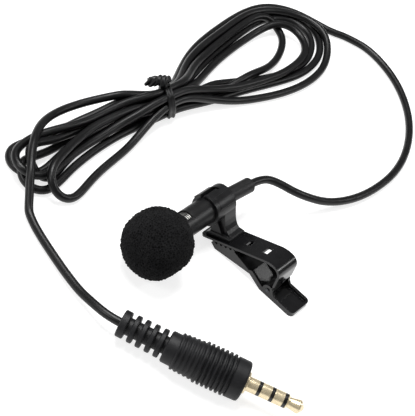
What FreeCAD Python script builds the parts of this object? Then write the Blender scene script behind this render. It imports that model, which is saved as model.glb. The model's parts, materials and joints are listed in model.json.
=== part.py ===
import FreeCAD, Part
import os, math
from FreeCAD import Vector, Rotation, Placement

# Clip-on lavalier microphone with its stored lead and 3.5 mm four-contact plug.
# Millimetres.  +X runs along the microphone from the foam towards the lead,
# +Z is up, the floor is Z = 0.  All shapes are laid out in a working frame
# whose X = 0 is the near edge of the clip's strip, then moved by (SX, SY).

# ---------------------------------------------------------------- dimensions
SX, SY = 5.9196, 10.4903        # working frame -> finished frame

TILT = 25.0                   # slope of the clip's strip above the floor, degrees
Z0 = 0.57                     # height of the strip's front lip, top face

STRIP_W = 7.5                 # strip width
STRIP_T = 0.6                 # strip thickness
BEND_R1, BEND_A1 = 7.0, 30.0  # first, slow part of the rear bend
BEND_R2, BEND_A2 = 2.4, 82.0  # second, tight part
FLAT_L = 19.4                 # straight length of the strip

PIN_U, PIN_N = 20.75, -8.35   # lever pivot, along the strip / above its top face
PIN_R = 0.50
EYE_R = 1.15
EAR_R = 1.50
PIVOT_GAP = 0.03              # radial running clearance in the lever's ears
LEVER_T = 0.5                 # lever sheet
WALL_T = 0.7                  # lever side walls

MIC_U, MIC_N = 2.3, 7.9       # microphone axis, along the strip / above its top face
BARREL_R = 3.37
BARREL_X0, BARREL_X1 = -7.4, 5.9
CAGE_X0, CAGE_X1 = -22.2, -7.4
FOAM_R, FOAM_X = 8.65, -19.6
SLEEVE_R, SLEEVE_X1 = 2.0, 16.3
FLEX_X, FLEX_A = 6.5, 5.0      # the rubber sleeve is flexed sideways by the lead from here
RING_X0, RING_X1 = -1.0, 6.4
RING_R = 4.02
RING_GAP = 0.03

CORD_D = 2.15                 # lead diameter
CORD_R = CORD_D / 2.0

PLUG_R = 1.75                 # 3.5 mm contact
GRIP_L = 17.0

c = math.cos(math.radians(TILT))
s = math.sin(math.radians(TILT))
MIC_Y = -MIC_U * c + MIC_N * s
MIC_Z = Z0 + MIC_U * s + MIC_N * c

os.makedirs("parts", exist_ok=True)
made = {}


def out(name, shape):
    """Move a solid to the finished frame and write it."""
    shape = shape.copy()
    shape.translate(Vector(SX, SY, 0))
    if shape.ShapeType == "Compound" and len(shape.Solids) == 1:
        shape = shape.Solids[0]
    assert len(shape.Solids) == 1, (name, len(shape.Solids))
    assert shape.isValid(), name
    shape.exportStep("parts/" + name + ".step")
    made[name] = shape
    b = shape.BoundBox
    print("%-18s vol %9.3f  x %.2f..%.2f  y %.2f..%.2f  z %.2f..%.2f" % (
        name, shape.Volume, b.XMin, b.XMax, b.YMin, b.YMax, b.ZMin, b.ZMax))


def xcyl(r, x0, x1, y=0.0, z=0.0):
    return Part.makeCylinder(r, x1 - x0, Vector(x0, y, z), Vector(1, 0, 0))


def mcyl(r, x0, x1):
    """Cylinder on the microphone's axis."""
    return xcyl(r, x0, x1, MIC_Y, MIC_Z)


def revolve_x(points, y=MIC_Y, z=MIC_Z):
    """Solid of revolution about the microphone's axis; points are (x, radius)."""
    w = Part.makePolygon([Vector(x, y, z + r) for x, r in points] +
                         [Vector(points[0][0], y, z + points[0][1])])
    return Part.Face(w).revolve(Vector(0, y, z), Vector(1, 0, 0), 360)


# The clip is drawn flat: x across the strip, y = -u, z = n, where u runs along
# the strip from its lip to its bend and n stands up from its top face.
CLIP = Placement(Vector(0, 0, Z0), Rotation(Vector(1, 0, 0), -TILT))


def un(u, n, x=0.0):
    return Vector(x, -u, n)


def place(shape):
    shape = shape.copy()
    shape.Placement = CLIP.multiply(shape.Placement)
    return shape


def slab(points, x0, x1):
    """Prism of a (u, n) outline between two stations across the clip."""
    f = Part.Face(Part.makePolygon([un(u, n, x0) for u, n in points] + [un(points[0][0], points[0][1], x0)]))
    return f.extrude(Vector(x1 - x0, 0, 0))


def fillet_edges(shape, r, test):
    es = [e for e in shape.Edges if test(e)]
    return shape.makeFillet(r, es) if es else shape


# ------------------------------------------------------------ upper jaw strip
A1, A2 = math.radians(BEND_A1), math.radians(BEND_A1 + BEND_A2)


def bend_point(dist, off):
    """Point of the strip's profile at angle dist (radians) round the bend, off below the top face."""
    if dist <= A1:
        cu, cn, r = FLAT_L, -BEND_R1, BEND_R1 - off
    else:
        cu = FLAT_L + (BEND_R1 - BEND_R2) * math.sin(A1)
        cn = -BEND_R1 + (BEND_R1 - BEND_R2) * math.cos(A1)
        r = BEND_R2 - off
    return (cu + r * math.sin(dist), cn + r * math.cos(dist))


def arc(p, q, r_, x=0.0):
    return Part.Arc(un(p[0], p[1], x), un(q[0], q[1], x), un(r_[0], r_[1], x)).toShape()


def line(p, q, x=0.0):
    return Part.LineSegment(un(p[0], p[1], x), un(q[0], q[1], x)).toShape()


LEG_D = (math.cos(A2), -math.sin(A2))      # direction the rear leg runs down


def strip_outline(leg, x):
    o0, o1, o2 = (0.0, 0.0), (FLAT_L, 0.0), bend_point(A1, 0)
    o3 = bend_point(A2, 0)
    o4 = (o3[0] + LEG_D[0] * leg, o3[1] + LEG_D[1] * leg)
    i3 = bend_point(A2, STRIP_T)
    i4 = (i3[0] + LEG_D[0] * leg, i3[1] + LEG_D[1] * leg)
    i2, i1, i0 = bend_point(A1, STRIP_T), (FLAT_L, -STRIP_T), (0.0, -STRIP_T)
    am, bm = bend_point(A1 / 2, 0), bend_point((A1 + A2) / 2, 0)
    ai, bi = bend_point(A1 / 2, STRIP_T), bend_point((A1 + A2) / 2, STRIP_T)
    edges = [line(o0, o1, x), arc(o1, am, o2, x), arc(o2, bm, o3, x), line(o3, o4, x),
             line(o4, i4, x), line(i4, i3, x), arc(i3, bi, i2, x), arc(i2, ai, i1, x),
             line(i1, i0, x), line(i0, o0, x)]
    return Part.Face(Part.Wire(edges))


WIDE_LEG = 3.4
strip = strip_outline(WIDE_LEG, 0.0).extrude(Vector(STRIP_W, 0, 0))
# narrow tongue of the leg, rolled into the eye that holds the pin
TONGUE_X0, TONGUE_X1 = 0.95, 3.6
o3 = bend_point(A2, 0)
i3 = bend_point(A2, STRIP_T)
t0, t1 = WIDE_LEG - 0.6, 4.75
tongue = slab([(o3[0] + LEG_D[0] * t0, o3[1] + LEG_D[1] * t0), (o3[0] + LEG_D[0] * t1, o3[1] + LEG_D[1] * t1),
               (i3[0] + LEG_D[0] * t1, i3[1] + LEG_D[1] * t1), (i3[0] + LEG_D[0] * t0, i3[1] + LEG_D[1] * t0)],
              TONGUE_X0, TONGUE_X1)
eye = Part.makeCylinder(EYE_R, TONGUE_X1 - TONGUE_X0, un(PIN_U, PIN_N, TONGUE_X0), Vector(1, 0, 0))
strip = strip.fuse(tongue).fuse(eye).removeSplitter()
strip = strip.cut(Part.makeCylinder(PIN_R, 12, un(PIN_U, PIN_N, -2), Vector(1, 0, 0)))
# rounded front corners of the lip
for x, sx in ((0.0, 1), (STRIP_W, -1)):
    r = 1.2
    box = Part.makeBox(r, r, 4, Vector(min(x, x + sx * r), -r, -2))
    cyl = Part.makeCylinder(r, 6, Vector(x + sx * r, -r, -3))
    strip = strip.cut(box.cut(cyl))
# two rectangular windows: (u centre, length along u, x centre, width across)
for uc, lu, xc, wx in ((12.55, 1.15, 3.95, 2.2), (17.9, 1.4, 3.95, 2.7)):
    strip = strip.cut(Part.makeBox(wx, lu, 4, Vector(xc - wx / 2, -(uc + lu / 2), -2)))
out("upper_jaw", place(strip))

# ------------------------------------------------------------------ pivot pin
out("pivot_pin", place(Part.makeCylinder(PIN_R, STRIP_W + 0.5, un(PIN_U, PIN_N, -0.25), Vector(1, 0, 0))))


# ---------------------------------------------------------------- lower lever
def floor_n(u, up=0.0):
    """n of the point at height up above the floor, at station u."""
    return (up - Z0 - u * s) / c


T = LEVER_T
J = (4.5, floor_n(4.5))
K = (15.25, -5.80)
B1 = (18.2, floor_n(18.2))
B2 = (27.75, floor_n(27.75))


def normal_off(p, q, d):
    du, dn = q[0] - p[0], q[1] - p[1]
    L = math.hypot(du, dn)
    return (-dn / L * d, du / L * d)


def offset_poly(pts, d):
    """Parallel polyline at distance d on the upper side."""
    res = []
    for i, p in enumerate(pts):
        if i == 0:
            o = normal_off(pts[0], pts[1], d)
            res.append((p[0] + o[0], p[1] + o[1]))
        elif i == len(pts) - 1:
            o = normal_off(pts[-2], pts[-1], d)
            res.append((p[0] + o[0], p[1] + o[1]))
        else:
            a, b = normal_off(pts[i - 1], p, d), normal_off(p, pts[i + 1], d)
            k = d * d / ((a[0] + b[0]) ** 2 / 4 + (a[1] + b[1]) ** 2 / 4)
            res.append((p[0] + (a[0] + b[0]) / 2 * k, p[1] + (a[1] + b[1]) / 2 * k))
    return res


under = [J, K, B1, B2]
upper = offset_poly(under, T)
plate = slab(under + upper[::-1], 0.0, STRIP_W)

JAW_TOP = -STRIP_T - 0.06                 # closed jaws all but touch
walls = None
rim = offset_poly(under, T + 0.85)
for x0 in (0.0, STRIP_W - WALL_T):
    x1 = x0 + WALL_T
    # tapering jaw cheek with its row of rounded teeth
    cheek = slab([(3.4, JAW_TOP - 0.55), (3.9, JAW_TOP - 0.55), (4.5, JAW_TOP - 0.5), (10.4, JAW_TOP - 0.5), (13.6, -3.6), (15.6, -5.3),
                  (K[0], K[1]), J], x0, x1)
    low = slab([(14.6, rim[1][1] - 0.1), rim[1], rim[2], rim[3], under[3], under[2], under[1]], x0, x1)
    low = low.common(slab([(10, -20), (10, 0), (30, 0), (30, -20)], x0, x1))
    ear = Part.makeCylinder(EAR_R, WALL_T, un(PIN_U, PIN_N, x0), Vector(1, 0, 0))
    earfoot = slab([(PIN_U - EAR_R * 0.95, PIN_N + 0.25), (PIN_U + EAR_R * 0.95, PIN_N - 0.2),
                    (PIN_U + 2.3, floor_n(PIN_U + 2.3)), (PIN_U - 2.4, floor_n(PIN_U - 2.4))], x0, x1)
    w = cheek.fuse([low, ear, earfoot])
    walls = w if walls is None else walls.fuse(w)
teeth = []
for i in range(5):
    teeth.append(Part.makeCylinder(0.5, STRIP_W, un(4.3 + 1.45 * i, JAW_TOP - 0.5, 0), Vector(1, 0, 0)))
# solid grip pad of the jaw, between the cheeks
pad = slab([(3.4, JAW_TOP - 0.55), (10.4, JAW_TOP - 0.5), (10.4, JAW_TOP - 1.3), (5.2, J[1] + 0.2), J], 0.0, STRIP_W)
lever = plate.fuse([walls, pad] + teeth)
# end rim and cross step of the thumb pad
d = ((B2[0] - B1[0]), (B2[1] - B1[1]))
dl = math.hypot(*d)
d = (d[0] / dl, d[1] / dl)
nn = (-d[1], d[0])


def along(t, h):
    return (B1[0] + d[0] * t + nn[0] * h, B1[1] + d[1] * t + nn[1] * h)


endrim = slab([along(dl - 0.7, 0), along(dl, 0), along(dl, T + 0.85), along(dl - 0.7, T + 0.85)], 0.0, STRIP_W)
step = slab([along(5.3, 0), along(5.9, 0), along(5.9, T + 0.35), along(5.3, T + 0.35)], 0.0, STRIP_W)
lever = lever.fuse([endrim, step]).removeSplitter()
# clear the lever of the floor line and bore the ears
below = slab([(0, floor_n(0)), (32, floor_n(32)), (32, floor_n(32) - 6), (0, floor_n(0) - 6)], -1, STRIP_W + 1)
lever = lever.cut(below)
lever = lever.cut(Part.makeCylinder(PIN_R + PIVOT_GAP, STRIP_W + 2, un(PIN_U, PIN_N, -1), Vector(1, 0, 0)))
# room for the rolled eye and the spring's coil between the ears
lever = lever.cut(Part.makeCylinder(EYE_R + 0.08, STRIP_W - 2 * WALL_T, un(PIN_U, PIN_N, WALL_T), Vector(1, 0, 0)))
# rounded corners of the thumb end
for x, sx in ((0.0, 1), (STRIP_W, -1)):
    r = 1.3
    e = along(dl, 0)
    loc = Placement(un(e[0], e[1], x), Rotation(Vector(1, 0, 0), math.degrees(math.atan2(-d[1], d[0]))))
    # local: +y back along the pad towards the pivot, +z off the floor
    box = Part.makeBox(r, r + 1.0, 4, Vector(0 if sx > 0 else -r, -1.0, -1.0))
    cyl = Part.makeCylinder(r, 6, Vector(sx * r, r, -2))
    cutter = box.cut(cyl)
    cutter.Placement = loc
    lever = lever.cut(cutter)
lever = lever.removeSplitter()
out("lower_lever", place(lever))

# -------------------------------------------------------------- torsion spring
WIRE_R = 0.16
COIL_R = 0.80
COIL_X0, COIL_X1 = 4.25, 6.25
phi0, phi1 = math.radians(245.0), math.radians(346.0 + 4 * 360)
path_pts = []
N = 110
for i in range(N + 1):
    a = phi0 + (phi1 - phi0) * i / N
    path_pts.append(Vector(COIL_X0 + (COIL_X1 - COIL_X0) * i / N, -(PIN_U + COIL_R * math.cos(a)), PIN_N + COIL_R * math.sin(a)))
helix = Part.BSplineCurve()
helix.interpolate(path_pts)
hw = helix.toShape()
t_first = helix.tangent(helix.FirstParameter)[0]
prof = Part.Wire([Part.makeCircle(WIRE_R, path_pts[0], t_first)])
coil = Part.Wire([hw]).makePipeShell([prof], True, True)
p_end, t_last = path_pts[-1], helix.tangent(helix.LastParameter)[0]
leg_a = Part.makeCylinder(WIRE_R, 1.0, path_pts[0], t_first.negative())
leg_b = Part.makeCylinder(WIRE_R, 4.2, p_end, t_last)
out("torsion_spring", place(coil.fuse([leg_a, leg_b])))

# ----------------------------------------------------------------- clip holder
LIP_A, SLOT_A, RIM_A = 31.0, 54.0, 48.0    # angles from +Y about the microphone's axis
NOTCH_X0, NOTCH_X1 = 3.7, 4.3


def sector_box(x0, x1, half, angle, r0=2.6, r1=8.0):
    """Radial block of the ring's zone, centred on an angle about the microphone's axis."""
    b_ = Part.makeBox(x1 - x0, r1 - r0, 2 * half, Vector(x0, r0, -half))
    b_.rotate(Vector(0, 0, 0), Vector(1, 0, 0), angle)
    b_.translate(Vector(0, MIC_Y, MIC_Z))
    return b_


ring = mcyl(RING_R, RING_X0, RING_X1)
collar = mcyl(RING_R + 0.14, RING_X0, RING_X0 + 0.7)          # front edge bead
lip = mcyl(RING_R + 0.40, RING_X0, NOTCH_X0).common(sector_box(RING_X0 - 1, NOTCH_X0 + 1, 1.25, LIP_A))
rim = mcyl(RING_R + 0.12, NOTCH_X1, RING_X1).common(sector_box(NOTCH_X1 - 1, RING_X1 + 1, 1.6, RIM_A))
boss = mcyl(RING_R + 0.08, 0.6, RING_X1 - 0.5).common(sector_box(0, RING_X1, 1.7, 116.0))   # low pad on the ring's crown
holder = ring.fuse([collar, lip, rim, boss])
# arm from the rear of the ring down to the strip, flaring into its foot
arm = slab([(2.2, 4.2), (6.1, 8.4), (6.2, 6.2), (6.2, 4.6), (6.35, 3.2), (6.75, 2.1), (7.35, 1.35), (8.2, 0.85), (8.4, 0.02),
            (1.4, 0.02), (1.4, 0.6), (1.8, 1.0), (2.1, 1.6)], 1.9, 6.4)
foot = slab([(1.2, 0.02), (8.4, 0.02), (8.4, 0.62), (7.0, 0.95), (5.2, 1.3), (2.4, 1.3), (1.2, 0.7)], 0.9, 7.0)
gusset = slab([(2.2, 0.02), (5.8, 0.02), (5.8, 1.2), (5.1, 3.0), (4.5, 4.4), (3.3, 3.4), (2.2, 1.4)], 1.15, 6.8)
holder = holder.fuse([place(arm), place(foot), place(gusset)]).removeSplitter()
holder = holder.cut(mcyl(BARREL_R + RING_GAP, -30, 30))
holder = holder.cut(sector_box(RING_X0 - 0.2, NOTCH_X0, 0.5, SLOT_A, 2.0, 10.0))
holder = holder.cut(sector_box(NOTCH_X0, NOTCH_X1, 2.2, LIP_A + 6.0, 2.6, 10.0)).removeSplitter()
out("clip_holder", holder)

# ------------------------------------------------------------------ microphone
# barrel: thin tube with a shouldered rear wall
barrel = mcyl(BARREL_R, BARREL_X0, BARREL_X1).cut(mcyl(2.75, BARREL_X0 - 1, BARREL_X1 - 0.9))
barrel = barrel.cut(mcyl(SLEEVE_R, -30, 30))
out("mic_barrel", barrel)

# head cage: bars and rings round the mesh, with a spigot pressed into the barrel
cage = revolve_x([(CAGE_X0, 2.2), (CAGE_X0, 3.0), (CAGE_X0 + 0.35, BARREL_R), (CAGE_X1, BARREL_R), (CAGE_X1, 2.75),
                  (CAGE_X1 + 2.2, 2.75), (CAGE_X1 + 2.2, 2.45), (CAGE_X1 - 0.6, 2.45), (CAGE_X1 - 0.6, 3.02),
                  (CAGE_X0 + 0.9, 3.02), (CAGE_X0 + 0.9, 2.2)])
WIN = 1.75
wins = []
for xc in (-9.15, -12.35, -15.55, -18.75):
    for k in (1, 3):
        b = Part.makeBox(2.05, 4.2, 6, Vector(xc - 1.025, -2.1, 0.8))
        b.rotate(Vector(0, 0, 0), Vector(1, 0, 0), 45 + 90 * k + 18)
        b.translate(Vector(0, MIC_Y, MIC_Z))
        wins.append(b)
for b in wins:
    cage = cage.cut(b)
out("head_cage", cage.removeSplitter())

mesh = mcyl(3.0, CAGE_X0 + 0.9, CAGE_X1 - 0.6).cut(mcyl(2.85, CAGE_X0 + 1.05, CAGE_X1))
out("grille_mesh", mesh)

# electret capsule, its felt, gasket and back board
out("capsule_felt", mcyl(2.55, -20.75, -20.25))
can = mcyl(2.6, -20.2, -17.6).cut(mcyl(2.4, -19.9, -17.0)).cut(mcyl(0.6, -21, -17))
out("capsule_can", can)
out("capsule_board", mcyl(2.35, -18.3, -17.65))
out("capsule_gasket", mcyl(2.83, -19.8, -18.0).cut(mcyl(2.62, -21, -17)))

# lead end inside the sleeve, crimp that stops it pulling out, two cores
FX = math.radians(FLEX_A)
FR = 12.0


def flexed(r, x0, x1):
    """Round bar on the microphone's axis that turns by FLEX_A at FLEX_X."""
    h = FR * math.tan(FX / 2)
    p0, pa = Vector(x0, MIC_Y, MIC_Z), Vector(FLEX_X - h, MIC_Y, MIC_Z)
    d_ = Vector(math.cos(FX), -math.sin(FX), 0)
    pb = Vector(FLEX_X, MIC_Y, MIC_Z) + d_ * h
    pm = Vector(FLEX_X - h + FR * math.sin(FX / 2), MIC_Y - FR * (1 - math.cos(FX / 2)), MIC_Z)
    p1 = Vector(FLEX_X, MIC_Y, MIC_Z) + d_ * (x1 - FLEX_X)
    sp = Part.Wire([Part.LineSegment(p0, pa).toShape(), Part.Arc(pa, pm, pb).toShape(), Part.LineSegment(pb, p1).toShape()])
    return sp.makePipeShell([Part.Wire([Part.makeCircle(r, p0, Vector(1, 0, 0))])], True, True)


core = flexed(CORD_R, 2.0, SLEEVE_X1)
out("lead_end", core)
out("cable_crimp", mcyl(1.6, 1.2, 2.6).cut(core))


def wire(points, r, fr):
    edges = []
    pts = [Vector(*p) for p in points]
    dirs = [(pts[i + 1] - pts[i]) for i in range(len(pts) - 1)]
    cut = []
    for i in range(1, len(pts) - 1):
        a, b = dirs[i - 1], dirs[i]
        turn = a.getAngle(b)
        m = 0.45 * min(a.Length, b.Length)
        cut.append(m)
        fr.append(m / math.tan(turn / 2))
    start = pts[0]
    for i in range(1, len(pts) - 1):
        a, b = Vector(dirs[i - 1]).normalize(), Vector(dirs[i]).normalize()
        m = cut[i - 1]
        p, q = pts[i] - a * m, pts[i] + b * m
        turn = a.getAngle(b)
        # middle of the tangent arc, on the bisector
        bis = (b - a).normalize()
        rad = m / math.tan(turn / 2)
        mid = pts[i] + bis * (rad / math.cos(turn / 2) - rad)
        edges.append(Part.LineSegment(start, p).toShape())
        edges.append(Part.Arc(p, mid, q).toShape())
        start = q
    edges.append(Part.LineSegment(start, pts[-1]).toShape())
    spine = Part.Wire(edges)
    prof_ = Part.Wire([Part.makeCircle(r, pts[0], dirs[0])])
    sh = spine.makePipeShell([prof_], True, True)
    return sh, spine.Length


my, mz = MIC_Y, MIC_Z
r1, r2 = [], []
w1, _ = wire([(-17.6, my + 1.3, mz), (-12.0, my + 1.2, mz), (-4.0, my + 0.4, mz + 0.3), (1.2, my + 0.45, mz)], 0.28, r1)
w2, _ = wire([(-17.6, my - 1.3, mz), (-12.0, my - 1.2, mz), (-4.0, my - 0.4, mz - 0.3), (1.2, my - 0.45, mz)], 0.28, r2)
out("signal_wire", w1)
out("shield_wire", w2)

# strain relief sleeve: flange trapped behind the barrel's rear wall, tail flexed a little
sleeve = flexed(SLEEVE_R, 4.0, SLEEVE_X1)
far_rim = [e for e in sleeve.Edges if e.BoundBox.XMin > SLEEVE_X1 - 1.0 and abs(e.Length - 2 * math.pi * SLEEVE_R) < 0.1]
sleeve = sleeve.makeChamfer(0.3, far_rim)
sleeve = mcyl(2.6, 3.4, BARREL_X1 - 0.95).fuse(sleeve).removeSplitter()
out("strain_relief", sleeve.cut(flexed(CORD_R, 2.0, SLEEVE_X1 + 0.5)))

# foam windscreen: ball with a blind bore that grips the cage
FOAM_X1 = -12.2
ballpts = [(CAGE_X0 - 0.3, 0.0), (CAGE_X0 - 0.3, BARREL_R + 0.05), (FOAM_X1, BARREL_R + 0.05)]
a0 = math.acos((FOAM_X1 - FOAM_X) / FOAM_R)
for i in range(0, 29):
    a = a0 + (math.pi - a0) * i / 28.0
    ballpts.append((FOAM_X + FOAM_R * math.cos(a), FOAM_R * math.sin(a) if i < 28 else 0.0))
out("foam_windscreen", revolve_x(ballpts))

# ------------------------------------------------------------------------ plug
PLUG_F = Vector(-28.718, -36.731, 5.02)        # centre of the grip's front face
PLUG_A = Vector(0.4131, -0.9107, 0.0).normalize()
BOOT_BEND = -5.5                              # the boot leans this far off the grip's axis, degrees
BOOT_DROP = 3.0                               # and droops this much


def plug_rev(points, bend=0.0):
    """Revolve (t, radius) about the plug's axis; t runs from the grip's front face to the tip."""
    w = Part.makePolygon([Vector(t, r, 0) for t, r in points] + [Vector(points[0][0], points[0][1], 0)])
    sh = Part.Face(w).revolve(Vector(0, 0, 0), Vector(1, 0, 0), 360)
    if bend:
        sh.rotate(Vector(-GRIP_L, 0, 0), Vector(0, 0, 1), bend)
        sh.rotate(Vector(-GRIP_L, 0, 0), Vector(0, 1, 0), -BOOT_DROP)
    ang = math.degrees(math.atan2(PLUG_A.y, PLUG_A.x))
    sh.rotate(Vector(0, 0, 0), Vector(0, 0, 1), ang)
    sh.translate(PLUG_F)
    return sh


# grip: smooth nose, seven deep ribs, five shallow ribs
g = [(-0.9, 0.0), (-0.9, 3.05), (0.0, 3.05), (0.0, 4.35), (-0.15, 4.65), (-0.5, 4.8), (-3.2, 4.85)]
t = -3.3
for i in range(7):
    g += [(t - 0.10, 4.42), (t - 0.36, 4.42), (t - 0.52, 5.0), (t - 0.93, 5.0)]
    t -= 1.13
for i in range(5):
    rr = 4.68 - 0.06 * i
    g += [(t - 0.15, rr - 0.22), (t - 0.42, rr - 0.22), (t - 0.6, rr), (t - 1.0, rr)]
    t -= 1.15
g += [(-GRIP_L + 0.25, 4.3), (-GRIP_L, 4.0), (-GRIP_L, 0.0)]
grip = plug_rev(g)
# boot: collar, then five flex discs on a slimmer core
b = [(-GRIP_L + 1.5, 0.0), (-GRIP_L + 1.5, 3.85), (-GRIP_L - 2.1, 3.85), (-GRIP_L - 2.4, 3.6), (-GRIP_L - 2.4, 2.1)]
for tc, th, rr in ((-20.75, 1.2, 3.5), (-23.0, 1.2, 3.45), (-25.3, 1.2, 3.4), (-27.5, 1.2, 3.35), (-30.1, 1.8, 3.28)):
    b += [(tc + th / 2, 2.1), (tc + th / 2, rr - 0.2), (tc + th / 2 - 0.2, rr), (tc - th / 2 + 0.2, rr),
          (tc - th / 2, rr - 0.2), (tc - th / 2, 2.1)]
b = b[:-1] + [(-31.0, 0.0)]
boot = plug_rev(b, BOOT_BEND)
over = grip.fuse(boot).removeSplitter()
# moulded round the inner block and the lead's end
premould = plug_rev([(-0.9, 1.0), (-0.9, 2.6), (-9.0, 2.6), (-10.0, 1.9), (-10.0, 0.0), (-3.0, 0.0), (-3.0, 1.0)])
over = over.cut(plug_rev([(-0.9, 0.0), (-0.9, 2.6), (-9.0, 2.6), (-10.0, 1.9), (-10.0, 0.0)]))
out("plug_overmould", over)
out("plug_premould", premould)

SL1, I1, R2_, I2, R1_, I3, TIP = 3.2, 4.05, 6.4, 7.25, 9.6, 10.45, 14.7
sleeve_c = plug_rev([(-0.9, 1.0), (-0.9, 3.05), (-0.02, 3.05), (0.0, 3.0), (0.0, 2.62), (0.58, 2.62), (0.7, 2.5), (0.7, PLUG_R), (SL1, PLUG_R), (SL1, 1.0)])
out("plug_sleeve", sleeve_c)
for name, t0_, t1_ in (("plug_insulator_1", SL1, I1), ("plug_insulator_2", R2_, I2), ("plug_insulator_3", R1_, I3)):
    out(name, plug_rev([(t0_, 1.0), (t0_, PLUG_R), (t1_, PLUG_R), (t1_, 1.0)]))
out("plug_ring_2", plug_rev([(I1, 1.0), (I1, PLUG_R), (R2_, PLUG_R), (R2_, 1.0)]))
out("plug_ring_1", plug_rev([(I2, 1.0), (I2, PLUG_R), (R1_, PLUG_R), (R1_, 1.0)]))
out("plug_core", plug_rev([(-3.0, 0.5), (-3.0, 1.0), (I3, 1.0), (I3, 0.5)]))
out("plug_tip", plug_rev([(-3.0, 0.0), (-3.0, 0.5), (I3, 0.5), (I3, PLUG_R), (I3 + 0.2, PLUG_R), (I3 + 0.45, 1.4), (I3 + 0.8, 1.3),
                          (I3 + 1.3, 1.38), (I3 + 2.9, 1.68), (I3 + 3.15, 1.68), (I3 + 3.35, 1.6), (TIP - 0.25, 0.75), (TIP - 0.05, 0.45), (TIP, 0.25), (TIP, 0.0)]))

# ----------------------------------------------------------- lead, hank and tie
ang = math.atan2(PLUG_A.y, PLUG_A.x)
rot = Rotation(Vector(0, 0, 1), math.degrees(ang)).multiply(
    Rotation(Vector(0, 1, 0), -BOOT_DROP)).multiply(Rotation(Vector(0, 0, 1), BOOT_BEND))
BOOT_L = 31.0 - GRIP_L
boot_root = PLUG_F - PLUG_A * GRIP_L
boot_dir = rot.multVec(Vector(-1, 0, 0))
boot_end = boot_root + boot_dir * BOOT_L
fx = math.radians(FLEX_A)
exit_dir = Vector(math.cos(fx), -math.sin(fx), 0)
exit_pt = Vector(FLEX_X, MIC_Y, MIC_Z) + exit_dir * (SLEEVE_X1 - FLEX_X)
print("sleeve end %.3f %.3f %.3f  boot end %.3f %.3f %.3f  boot dir %.3f %.3f %.3f" % (
    exit_pt.x, exit_pt.y, exit_pt.z, boot_end.x, boot_end.y, boot_end.z, boot_dir.x, boot_dir.y, boot_dir.z))

LIE = CORD_R + 0.09            # height of the lead's centre where it lies on the floor
MIC_ROUTE = [
    (exit_pt.x, exit_pt.y, exit_pt.z),
    (exit_pt.x + 3.9 * exit_dir.x, exit_pt.y + 3.9 * exit_dir.y, exit_pt.z),
    (24.0, -1.9, 8.1),
    (28.6, -9.0, 6.0),
    (38.3, -14.6, 2.1),
    (51.85, -18.4, LIE),
    (69.7, -17.9, LIE),
    (86.45, -10.1, LIE),
    (97.85, 2.6, LIE),
    (102.0, 16.5, LIE),
    (96.9, 28.6, LIE),
]
PLUG_ROUTE = [
    (boot_end.x, boot_end.y, boot_end.z),
    (boot_end.x + 2.9 * boot_dir.x, boot_end.y + 2.9 * boot_dir.y, boot_end.z + 2.9 * boot_dir.z),
    (-41.0, -0.5, 3.3),
    (-39.95, 6.3, 1.75),
    (-37.36, 15.4, LIE),
    (-33.44, 24.85, LIE),
    (-28.6, 32.4, LIE),
]


def lead(points, name):
    radii = []
    sh, length = wire(points, CORD_R, radii)
    print("%s: centreline %.2f mm, bend radii %s, volume %.2f = %.4f of section x length, z min %.3f" % (
        name, length, ", ".join("%.1f" % r for r in radii), sh.Volume,
        sh.Volume / (math.pi * CORD_R ** 2 * length), sh.BoundBox.ZMin))
    return sh


mic_lead = lead(MIC_ROUTE, "mic_lead")
plug_lead = lead(PLUG_ROUTE, "plug_lead")
print("mic route", [tuple(round(v, 4) for v in p) for p in MIC_ROUTE])
print("plug route", [tuple(round(v, 4) for v in p) for p in PLUG_ROUTE])

HANK_H = 8.5
WX0, WX1, WY0, WY1, WZ0, WZ1 = 21.5, 30.1, 30.4, 39.8, 0.72, 8.5
OUTLINE = [(-34.0, 38.0), (-34.6, 34.0), (-34.0, 29.5), (-30.0, 26.6), (-24.6, 25.3), (-19.0, 24.9), (-15.0, 25.2), (-9.0, 26.5), (-3.0, 27.6),
           (3.0, 28.4), (9.0, 29.3), (15.0, 30.0), (WX0, WY0), (WX1, WY0),
           (33.0, 28.6), (39.0, 26.0), (45.0, 23.6), (51.0, 21.2), (57.0, 19.2), (63.0, 18.0), (69.0, 17.8), (75.0, 17.8), (81.0, 18.7),
           (87.0, 20.9), (92.0, 23.8), (97.0, 27.4), (98.6, 30.0), (98.2, 34.6), (96.4, 39.6), (93.0, 44.2), (87.0, 47.8), (81.0, 49.0),
           (75.0, 49.2), (69.0, 49.1), (63.0, 48.7), (57.0, 48.1), (51.0, 47.3), (45.0, 46.0), (39.0, 43.9), (33.0, 41.2), (WX1, WY1), (WX0, WY1),
           (15.0, 42.1), (9.0, 44.6), (3.0, 46.4), (-3.0, 47.3), (-9.0, 47.4), (-15.0, 47.0), (-21.0, 46.8), (-27.0, 46.0), (-31.5, 42.6)]
hank = Part.Face(Part.makePolygon([Vector(x, y, 0) for x, y in OUTLINE + OUTLINE[:1]])).extrude(Vector(0, 0, HANK_H))
waist = Part.makeBox(WX1 - WX0, 30, HANK_H + 2, Vector(WX0, 20, -1)).cut(
    Part.makeBox(WX1 - WX0, WY1 - WY0, WZ1 - WZ0, Vector(WX0, WY0, WZ0)))
hank = hank.cut(waist).cut(mic_lead).cut(plug_lead)
out("mic_lead", mic_lead)
out("plug_lead", plug_lead)
out("lead_hank", hank)
TX0, TX1 = 23.3, 28.3
tie = Part.makeBox(TX1 - TX0, WY1 - WY0 + 1.8, WZ1 + 0.9, Vector(TX0, WY0 - 0.9, 0.0)).cut(
    Part.makeBox(10, WY1 - WY0, WZ1 - WZ0, Vector(TX0 - 2, WY0, WZ0)))
out("hank_tie", tie)

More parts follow.
